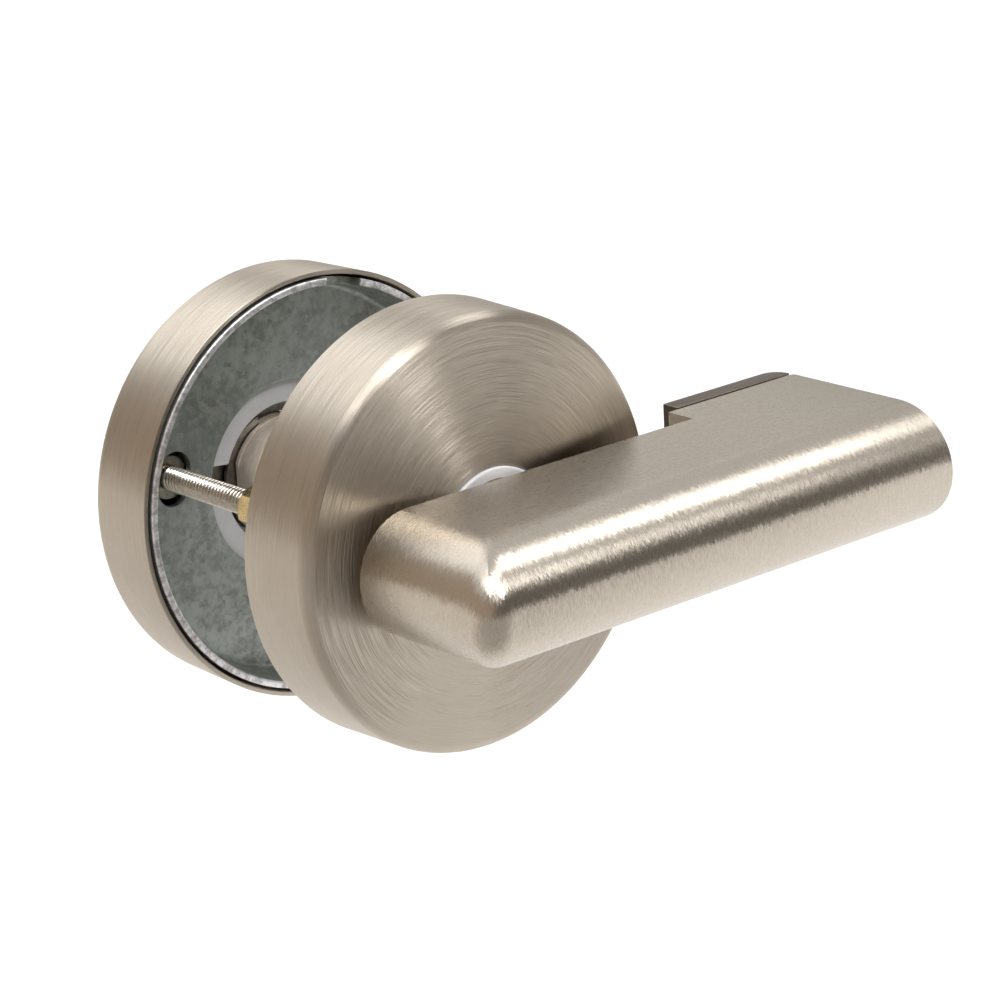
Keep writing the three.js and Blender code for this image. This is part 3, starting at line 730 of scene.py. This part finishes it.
def make_dish(name, side):
    foot = DISH_RADIUS - DISH_TAPER
    fillet_radius = foot - DISH_FILLET
    fillet_out = dish_back - DISH_FILLET
    floor = dish_back - DISH_SHEET
    lip = DISH_EDGE
    profile = [
        *arc(DISH_RADIUS - lip, dish_rim + lip, lip, -90, 0, 3),
        *arc(fillet_radius, fillet_out, DISH_FILLET, 0, 90, 8),
        *arc(DISH_HOLE + lip, dish_back - lip, lip, 90, 180, 3),
        *arc(DISH_HOLE + lip, floor + lip, lip, 180, 270, 3),
        *arc(fillet_radius, fillet_out, DISH_FILLET - DISH_SHEET, 90, 0, 5),
        *arc(DISH_RADIUS - DISH_SHEET + lip, dish_rim + lip, lip, 180, 270, 3),
    ]
    dish = turned(name, profile, side, ROSE_SIDES)
    ends = sorted((side * (dish_rim - MM), side * (dish_rim + DISH_NOTCH_DEPTH)))
    notch = block(
        "notch_cutter",
        (-DISH_NOTCH_WIDTH / 2, ends[0], DISH_RADIUS / 2),
        (DISH_NOTCH_WIDTH / 2, ends[1], DISH_RADIUS + MM),
    )
    shape_with(dish, turn_about_spindle(notch, HARDWARE_TURN))
    low, high = sorted((side * (floor - MM), side * (dish_back + MM)))
    for x in (-BOLT_CIRCLE, BOLT_CIRCLE):
        shape_with(dish, slot_cutter(x, low, high))
    return dish


front_dish = make_dish("front_dish_plate", FRONT)
rear_dish = turned_copy(front_dish, "rear_dish_plate", THROUGH_NOTCH)
finish_piece(front_dish, "front_housing", "galvanised_steel", galvanised_dish, "front_dish")
finish_piece(rear_dish, "rear_housing", "galvanised_steel", galvanised_dish, "rear_dish")

# ---------------------------------------------------------------- bushes and cages


def make_bush(name, side):
    flange_top = bush_plane + BUSH_FLANGE_HEIGHT
    profile = [
        (BUSH_BORE, bush_plane),
        (BUSH_FLANGE, bush_plane),
        (BUSH_FLANGE, flange_top),
        (BUSH_RADIUS, flange_top),
        *arc(BUSH_RADIUS - BUSH_EDGE, bush_top - BUSH_EDGE, BUSH_EDGE, 0, 90, 4),
        *arc(BUSH_BORE + BUSH_BORE_EDGE, bush_top - BUSH_BORE_EDGE, BUSH_BORE_EDGE, 90, 180, 3),
    ]
    return turned(name, profile, side)


def make_cage(name, side):
    top = cage_floor + CAGE_FLOOR
    lip = 0.2 * MM
    profile = [
        *arc(CAGE_HOLE + lip, cage_floor + lip, lip, 180, 270, 3),
        (CAGE_RADIUS, cage_floor),
        (CAGE_RADIUS, cage_top),
        (CAGE_RADIUS - CAGE_WALL, cage_top),
        (CAGE_RADIUS - CAGE_WALL, top),
        (CAGE_HOLE, top),
    ]
    cage = turned(name, profile, side)
    low, high = sorted((side * (cage_floor - MM), side * (top + MM)))
    notch = block(
        "cage_notch_cutter",
        (-CAGE_NOTCH_LENGTH / 2, low, -CAGE_NOTCH_WIDTH / 2),
        (CAGE_NOTCH_LENGTH / 2, high, CAGE_NOTCH_WIDTH / 2),
    )
    shape_with(cage, turn_about_spindle(notch, side * CAGE_NOTCH_TURN))
    return cage


front_bush = make_bush("front_bush_sleeve", FRONT)
rear_bush = turned_copy(front_bush, "rear_bush_sleeve", UPRIGHT)
finish_piece(front_bush, "front_housing", "white_nylon", nylon, "front_bush")
finish_piece(rear_bush, "rear_housing", "white_nylon", nylon, "rear_bush")
finish_piece(make_cage("rear_cage_body", REAR), "rear_housing", "white_nylon", nylon, "rear_spring_cage")

# ---------------------------------------------------------------- hubs and spindle


def square_cutter(low, high):
    return block("socket_cutter", (-SOCKET / 2, low, -SOCKET / 2), (SOCKET / 2, high, SOCKET / 2))


def hub_profile():
    thick_end = hub_plane + HUB_HEIGHT
    edge = 0.15 * MM
    return [
        (HUB_RADIUS - HUB_CHAMFER - edge, hub_plane),
        (HUB_RADIUS - HUB_CHAMFER + edge / 2, hub_plane + edge / 2),
        (HUB_RADIUS - edge / 2, hub_plane + HUB_CHAMFER - edge / 2),
        (HUB_RADIUS, hub_plane + HUB_CHAMFER + edge),
        (HUB_RADIUS, thick_end),
        (HUB_STUB, thick_end),
    ]


def ring_groove():
    """The part of a neck's profile that its retaining ring sits in."""
    start = neck_end + GROOVE_START
    end = start + GROOVE_WIDTH
    return [(NECK_RADIUS, start), (GROOVE_RADIUS, start), (GROOVE_RADIUS, end), (NECK_RADIUS, end)]


def cut_flats(piece, start, end):
    """Cuts the two flats that carry the cam, from start to end along Y."""
    for way in (-1, 1):
        low, high = sorted((way * NECK_FLAT, way * (NECK_RADIUS + MM)))
        shape_with(piece, block("flat_cutter", (low, start, -ROSE_RADIUS), (high, end, ROSE_RADIUS)))


def make_front_hub():
    profile = [
        *hub_profile(),
        (HUB_STUB, front_stub_end - STUB_EDGE),
        (HUB_STUB - STUB_EDGE, front_stub_end),
    ]
    hub = turned("front_hub_sleeve", profile, FRONT, solid=True)
    return shape_with(hub, square_cutter(-front_stub_end - MM, -hub_plane + MM))


def make_rear_hub():
    neck_top = bush_top + CLEAR
    profile = [
        *hub_profile(),
        (HUB_STUB, neck_end),
        (NECK_RADIUS, neck_end),
        *ring_groove(),
        (NECK_RADIUS - STUB_EDGE / 2, neck_top),
        (HUB_STUB, neck_top),
        (HUB_STUB, rear_stub_end - STUB_EDGE),
        (HUB_STUB - STUB_EDGE, rear_stub_end),
    ]
    hub = turned("rear_hub_sleeve", profile, REAR, solid=True)
    cut_flats(hub, neck_end - CLEAR, bush_plane)
    return shape_with(hub, square_cutter(hub_plane - MM, rear_stub_end + MM))


finish_piece(make_front_hub(), "lever", "plated_steel", plated_steel, "front_hub")
finish_piece(make_rear_hub(), "rear_drive", "plated_steel", plated_steel, "rear_hub")

spindle = block("spindle_bar", spindle_low, spindle_high)
soften(spindle, SPINDLE_EDGE, 3)
finish_piece(spindle, "lever", "galvanised_steel", galvanised, "spindle")

# ---------------------------------------------------------------- posts and through screws


def make_post(name, x):
    """A hexagon brass post with a turned, chamfered end, riveted through its slot in the front dish."""
    foot = dish_back - DISH_SHEET - CLEAR
    tip = foot - POST_REACH
    corner = POST_HALF_FLATS / math.cos(math.pi / 6)
    post = turned(name, [(corner, tip), (corner, foot)], FRONT, sides=6, solid=True, centre=(x, 0))
    round_end = [
        (POST_HALF_FLATS - POST_TIP_EDGE, tip),
        (corner + POST_CORNER_SPARE, tip + POST_CHAMFER),
        (corner + POST_CORNER_SPARE, foot - POST_CHAMFER / 2),
        (POST_HALF_FLATS, foot),
    ]
    shape_with(post, turned("post_round", round_end, FRONT, solid=True, centre=(x, 0)), "INTERSECT")
    rivet_plane = dish_back + CLEAR
    shank = [
        (POST_SHANK, foot - POST_OVERLAP),
        (POST_SHANK, rivet_plane),
        (POST_RIVET - RIVET_UNDER_EDGE, rivet_plane),
        (POST_RIVET, rivet_plane + RIVET_RISE),
        (POST_RIVET - RIVET_TOP_EDGE, rivet_top),
    ]
    shape_with(post, turned("post_shank", shank, FRONT, SMALL_SIDES, True, (x, 0)), "UNION")
    bore = [
        (POST_BORE + POST_MOUTH, tip - MM),
        (POST_BORE + POST_MOUTH, tip),
        (POST_BORE, tip + POST_MOUTH),
        (POST_BORE, rivet_top + MM),
    ]
    shape_with(post, turned("post_bore", bore, FRONT, SMALL_SIDES, True, (x, 0)))
    return turn_about_spindle(post, HARDWARE_TURN)


def draw_line(name, points):
    """An open line of edges, drawn on from the corner of a small plane."""
    deselect_all()
    size = MM
    first = Vector(points[0])
    bpy.ops.mesh.primitive_plane_add(size=size, location=first + Vector((size / 2, size / 2, 0)))
    line = bpy.context.object
    line.name = name
    place_in_mesh(line)
    start_edit(line, "DESELECT")
    choose_points(line, lambda place: (place - first).length > size / 4)
    bpy.ops.mesh.delete(type="VERT")
    bpy.ops.mesh.select_all(action="SELECT")
    here = first
    for point in points[1:]:
        step = Vector(point) - here
        bpy.ops.mesh.extrude_vertices_move(TRANSFORM_OT_translate={"value": step})
        here = Vector(point)
    deselect_all()
    return line


def make_through_screw(name, x):
    """A machine screw with a rolled thread and a rounded head."""
    wave = []
    for i in range(THREAD_STEPS + 1):
        share = i / THREAD_STEPS
        depth = THREAD_DEPTH * (1 + math.cos(math.tau * share)) / 2
        wave.append((SCREW_RADIUS - THREAD_EDGE - depth, 0, THREAD_PITCH * share))
    screw = draw_line(name, wave)
    head_plane = dish_back + CLEAR
    turns = int((head_plane - screw_tip) / THREAD_PITCH) - 1
    apply_modifier(
        screw, "SCREW", axis="Z", angle=math.tau, screw_offset=THREAD_PITCH,
        iterations=turns, steps=THREAD_SIDES, render_steps=THREAD_SIDES,
    )
    screw.rotation_euler = (-math.pi / 2, 0, 0)
    screw.location = (x, screw_tip + SCREW_TIP_GAP, 0)
    place_in_mesh(screw)
    start_edit(screw)
    bpy.ops.mesh.remove_doubles(threshold=MERGE)
    bpy.ops.mesh.select_all(action="SELECT")
    bpy.ops.mesh.fill_holes(sides=0)
    close_up(screw)

    profile = [
        (SCREW_RADIUS - THREAD_DEPTH, head_plane - MM),
        (SCREW_RADIUS - THREAD_EDGE, head_plane - THREAD_EDGE),
        (SCREW_HEAD - SCREW_HEAD_EDGE, head_plane),
        (SCREW_HEAD, head_plane + SCREW_HEAD_EDGE),
        *arc(SCREW_HEAD - SCREW_HEAD_ROUND, screw_head_top - SCREW_HEAD_ROUND, SCREW_HEAD_ROUND, 0, 80, 5),
    ]
    head = turned("screw_head", profile, REAR, SMALL_SIDES, True, (x, 0))
    for wide, tall in ((RECESS_WIDTH, RECESS_LENGTH), (RECESS_LENGTH, RECESS_WIDTH)):
        recess = block(
            "recess_cutter",
            (x - wide / 2, screw_head_top - RECESS_DEPTH, -tall / 2),
            (x + wide / 2, screw_head_top + MM, tall / 2),
        )
        shape_with(head, recess)
    pick(head)
    screw.select_set(True)
    bpy.context.view_layer.objects.active = screw
    bpy.ops.object.join()
    return turn_about_spindle(screw, HARDWARE_TURN)


left_post = make_post("left_brass_post", -BOLT_CIRCLE)
left_screw = make_through_screw("left_threaded_screw", -BOLT_CIRCLE)
right_post = turned_copy(left_post, "right_brass_post", SPINDLE)
right_screw = turned_copy(left_screw, "right_threaded_screw", SPINDLE)
for which, post, threaded in (("left", left_post, left_screw), ("right", right_post, right_screw)):
    finish_piece(post, "front_housing", "brass", brass, f"{which}_post")
    finish_piece(threaded, "rear_housing", "screw_nickel", screw_nickel, f"{which}_through_screw")

# ---------------------------------------------------------------- lever


def lever_outside():
    """The lever's outside, raised from its middle plane in slices that draw in at the nose and the tail."""
    tail_centre = lever_low.x + LEVER_HALF_HEIGHT
    nose_start = lever_front - LEVER_NOSE
    end = lever_high.x

    deselect_all()
    bpy.ops.mesh.primitive_plane_add(size=1, location=((lever_low.x + RETURN_START) / 2, 0, 0))
    lever = bpy.context.object
    lever.name = "lever_handle"
    lever.scale = (RETURN_START - lever_low.x, lever_front - LEVER_BACK, 1)
    lever.location.y = -(lever_front + LEVER_BACK) / 2
    place_in_mesh(lever)

    start_edit(lever, "DESELECT")
    choose_points(lever, lambda place: place.x > RETURN_START - MERGE)
    bpy.ops.mesh.extrude_edges_move(TRANSFORM_OT_translate={"value": (end - RETURN_START, 0, 0)})
    choose_edges(
        lever,
        lambda a, b: min(a.x, b.x) > RETURN_START - MERGE and min(a.y, b.y) > -LEVER_BACK - MERGE,
    )
    bpy.ops.mesh.extrude_edges_move(TRANSFORM_OT_translate={"value": (0, LEVER_BACK - RETURN_BACK, 0)})
    choose_points(lever, lambda place: place.x > end - MERGE and place.y > -RETURN_BACK - MERGE)
    bpy.ops.mesh.bevel(offset=RETURN_CORNER, segments=6, profile=0.5, affect="VERTICES")
    choose_points(lever, lambda place: place.x < lever_low.x + MERGE and place.y < -lever_front + MERGE)
    bpy.ops.mesh.bevel(offset=LEVER_CORNER, segments=10, profile=0.5, affect="VERTICES")

    corner = LEVER_CORNER
    draw_in = 1.0
    height = 0.0
    slack = MERGE * 5
    for i in range(1, LEVER_LEVELS + 1):
        angle = math.pi / 2 * i / LEVER_LEVELS
        next_in = max(math.cos(angle), 1e-4)
        next_height = LEVER_HALF_HEIGHT * math.sin(angle)
        next_corner = LEVER_CORNER * next_in
        top = next_height
        if i == 1:
            bpy.ops.mesh.select_all(action="SELECT")
        else:
            choose_points(lever, lambda place: place.z > height - MERGE)
        bpy.ops.mesh.extrude_region_move(TRANSFORM_OT_translate={"value": (0, 0, next_height - height)})

        tail = tail_centre - LEVER_HALF_HEIGHT * draw_in
        nose = -nose_start - LEVER_NOSE * draw_in
        next_tail = tail_centre - LEVER_HALF_HEIGHT * next_in
        next_nose = -nose_start - LEVER_NOSE * next_in
        centre_x, centre_y = tail + corner, nose + corner

        def on_top(place):
            return place.z > top - slack

        def in_corner(place):
            return on_top(place) and place.x < centre_x + slack and place.y < centre_y + slack

        choose_points(lever, in_corner)
        shift = (next_tail + next_corner - centre_x, next_nose + next_corner - centre_y, 0)
        bpy.ops.transform.translate(value=shift)
        ratio = next_corner / corner
        middle = (next_tail + next_corner, next_nose + next_corner, top)
        bpy.ops.transform.resize(value=(ratio, ratio, 1), center_override=middle)
        choose_points(
            lever,
            lambda place: on_top(place) and place.y < nose + slack and place.x > RETURN_START - slack,
        )
        bpy.ops.transform.translate(value=(0, next_nose - nose, 0))
        choose_points(
            lever,
            lambda place: on_top(place) and place.x < tail + slack and place.y > -LEVER_BACK - slack,
        )
        bpy.ops.transform.translate(value=(next_tail - tail, 0, 0))
        height, draw_in, corner = next_height, next_in, next_corner

    choose_points(lever, lambda place: abs(place.z) < MERGE)
    bpy.ops.mesh.delete(type="ONLY_FACE")
    apply_modifier(lever, "MIRROR", use_axis=(False, False, True), merge_threshold=slack)
    close_up(lever)
    return lever


def make_neck():
    """The turning neck, with the groove for its ring and the flats for its cam."""
    profile = [
        (NECK_RADIUS - NECK_EDGE, neck_end),
        (NECK_RADIUS, neck_end + NECK_EDGE),
        *ring_groove(),
        (NECK_RADIUS, LEVER_BACK + NECK_SINK),
    ]
    neck = turned("lever_neck", profile, FRONT, solid=True)
    cut_flats(neck, -bush_plane, CLEAR - neck_end)
    return neck


def cut_hollows(lever):
    """The bore for the hub, the hollow core that the cap closes, and the holes for the screws."""
    end = lever_high.x - CORE_WALL
    front = CORE_FRONT_WALL - lever_front
    core = block(
        "core_cutter",
        (CORE_START, front, -CORE_HALF_HEIGHT),
        (end, -LEVER_BACK - CORE_WALL, CORE_HALF_HEIGHT),
    )
    mouth = block(
        "mouth_cutter",
        (RETURN_START + CORE_WALL, front + MM, -CORE_HALF_HEIGHT),
        (end, -RETURN_BACK + MM, CORE_HALF_HEIGHT),
    )
    shape_with(core, mouth, "UNION")
    shape_with(lever, core)
    shape_with(lever, rod("bore_cutter", STUB_BORE, -front_stub_end - CLEAR, MM - neck_end))
    set_low, set_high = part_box("lever_set_screw")
    place = (set_low + set_high) / 2
    hole = (set_high.x - set_low.x) / 2 + CLEAR
    shape_with(lever, rod("set_screw_cutter", hole, -LEVER_HALF_HEIGHT - MM, 0, axis="Z", centre=place))
    for name in CAP_SCREWS:
        screw_low, screw_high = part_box(name)
        place = (screw_low + screw_high) / 2
        cutter = rod("cap_screw_cutter", CAP_SCREW_HOLE, screw_low.y - CLEAR, -RETURN_BACK + MM, centre=place)
        shape_with(lever, cutter)


def make_lever():
    lever = lever_outside()
    soften(lever, LEVER_EDGE, 3, angle=50)
    shape_with(lever, make_neck(), "UNION")
    cut_hollows(lever)
    return lever


lever = make_lever()
finish_piece(lever, "lever", "satin_nickel", lever_nickel, "lever_body")

cap = block("lever_end_cap", cap_low, cap_high)
start_edit(cap, "DESELECT")
bpy.ops.mesh.select_mode(type="EDGE")
choose_edges(cap, lambda a, b: min(a.x, b.x) > cap_high.x - MERGE and min(a.y, b.y) > cap_high.y - MERGE)
bpy.ops.mesh.bevel(offset=CAP_CORNER, segments=10, profile=0.5, affect="EDGES")
deselect_all()
soften(cap, CAP_EDGE, 3)
for name in CAP_SCREWS:
    low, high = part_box(name)
    place = (low + high) / 2
    shape_with(cap, rod("cap_hole_cutter", CAP_SCREW_HOLE, cap_low.y - MM, cap_high.y + MM, centre=place))
    counterbore = rod(
        "counterbore_cutter", CAP_SCREW_HEAD_HOLE, cap_high.y - CAP_COUNTERBORE, cap_high.y + MM, centre=place
    )
    shape_with(cap, counterbore)
finish_piece(cap, "lever", "cap_nickel", cap_nickel, "lever_cap")

# ---------------------------------------------------------------- pieces kept from the frame

kept_finishes = {
    spring_steel: [
        "front_spring", "rear_spring", "front_cam", "rear_cam",
        "front_retaining_ring", "rear_retaining_ring", "lever_set_screw",
    ],
    plated_steel: CAP_SCREWS,
    galvanised: ["front_cage_cover", "rear_cage_cover"],
    rubber: ["lever_cap_gasket"],
    nylon: ["front_spring_cage"],
}
for material, names in kept_finishes.items():
    for name in names:
        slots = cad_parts[name].data.materials
        slots.clear()
        slots.append(material)

# ---------------------------------------------------------------- floor, light and camera

FLOOR_SIZE = 14
FLOOR_HEIGHT = -0.2

CAMERA_PLACE = (-0.3286, -0.4222, 0.1703)
CAMERA_TURN = math.radians(-40.06)
CAMERA_TIP = math.radians(90 - 17.78)
CAMERA_ROLL = math.radians(-3.18)
CAMERA_SENSOR = 36
CAMERA_LENS = 127


def make_floor():
    deselect_all()
    bpy.ops.mesh.primitive_plane_add(size=FLOOR_SIZE, location=(0, 0, FLOOR_HEIGHT))
    floor = bpy.context.object
    floor.name = "studio_floor"
    place_in_mesh(floor)
    material, tree, surface = new_material("Pale floor with painted shade")
    place = add_node(tree, "ShaderNodeTexCoord").outputs["Object"]
    cloud = mixed(tree, noise(tree, place, scale=1.5), (0.86, 0.86, 0.86, 1), (0.88, 0.88, 0.88, 1))
    # Painted shade: the floor stays pale towards the right and back, and is painted darker towards the left,
    # darkest at the front left.
    forward = add_node(tree, "ShaderNodeSeparateXYZ", {0: place}).outputs["Y"]
    painted_floor_shade = mixed(tree, spread(tree, forward, -0.2, 0.3), (0.36, 0.345, 0.33, 1), (0.66, 0.62, 0.57, 1))
    lit = spread(tree, vectors(tree, "DOT_PRODUCT", place, (0.83, 0.55, 0.0)), -0.14, 0.05)
    tree.links.new(mixed(tree, lit, painted_floor_shade, cloud), surface.inputs["Base Color"])
    surface.inputs["Roughness"].default_value = 1.0
    surface.inputs["Specular IOR Level"].default_value = 0.0
    floor.data.materials.append(material)
    floor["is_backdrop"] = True


# Soft lamps in the sky: direction, half angle of the bright middle and of the edge in degrees, brightness.
LAMPS = [
    ((0.61, -0.05, 0.79), 7, 13, 5.0),
    ((0.16, -0.69, 0.71), 5, 13, 12.0),
    ((-0.08, -0.32, 0.94), 6, 14, 6.0),
    ((-0.36, -0.34, 0.87), 7, 15, 7.0),
    ((0.0, 0.72, 0.69), 8, 28, 1.9),
]


def make_sky():
    """Soft studio light: a broad bright ceiling, a mid grey wall behind and a darker room in front."""
    world = bpy.data.worlds.new("Studio")
    bpy.context.scene.world = world
    world.use_nodes = True
    tree = world.node_tree
    background = tree.nodes["Background"]
    direction = add_node(tree, "ShaderNodeTexCoord").outputs["Generated"]
    parts = add_node(tree, "ShaderNodeSeparateXYZ", {0: direction}).outputs
    behind = spread(tree, vectors(tree, "DOT_PRODUCT", direction, (0.45, 0.89, 0.0)), -0.15, 0.45)
    left = spread(tree, vectors(tree, "DOT_PRODUCT", direction, (-0.98, 0.2, 0.0)), 0.1, 0.75)
    room = mixed(tree, behind, (0.17, 0.158, 0.145, 1), (0.62, 0.605, 0.58, 1))
    wall = mixed(tree, left, room, (0.5, 0.41, 0.33, 1))
    overhead = mixed(tree, spread(tree, parts["Y"], -0.5, -0.15), (0.3, 0.29, 0.28, 1), (0.8, 0.8, 0.8, 1))
    sky = mixed(tree, spread(tree, parts["Z"], 0.5, 0.72), wall, overhead)
    for place, core, edge, power in LAMPS:
        toward = vectors(tree, "DOT_PRODUCT", direction, Vector(place).normalized())
        lit = spread(tree, toward, math.cos(math.radians(edge)), math.cos(math.radians(core)))
        sky = mixed(tree, lit, sky, (power, power, power, 1))
    tree.links.new(sky, background.inputs["Color"])
    background.inputs["Strength"].default_value = 1.0


def make_camera():
    data = bpy.data.cameras.new("Camera")
    camera = bpy.data.objects.new("Camera", data)
    bpy.context.scene.collection.objects.link(camera)
    data.sensor_width = CAMERA_SENSOR
    data.lens = CAMERA_LENS
    data.clip_start = 0.01
    data.clip_end = 30
    turn = Matrix.Rotation(CAMERA_TURN, 4, "Z")
    tip = Matrix.Rotation(CAMERA_TIP, 4, "X")
    roll = Matrix.Rotation(CAMERA_ROLL, 4, "Z")
    camera.matrix_world = Matrix.Translation(CAMERA_PLACE) @ turn @ tip @ roll
    bpy.context.scene.camera = camera


make_floor()
make_sky()
make_camera()
bpy.context.scene.view_settings.view_transform = "Standard"

# ---------------------------------------------------------------- size and end

low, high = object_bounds()
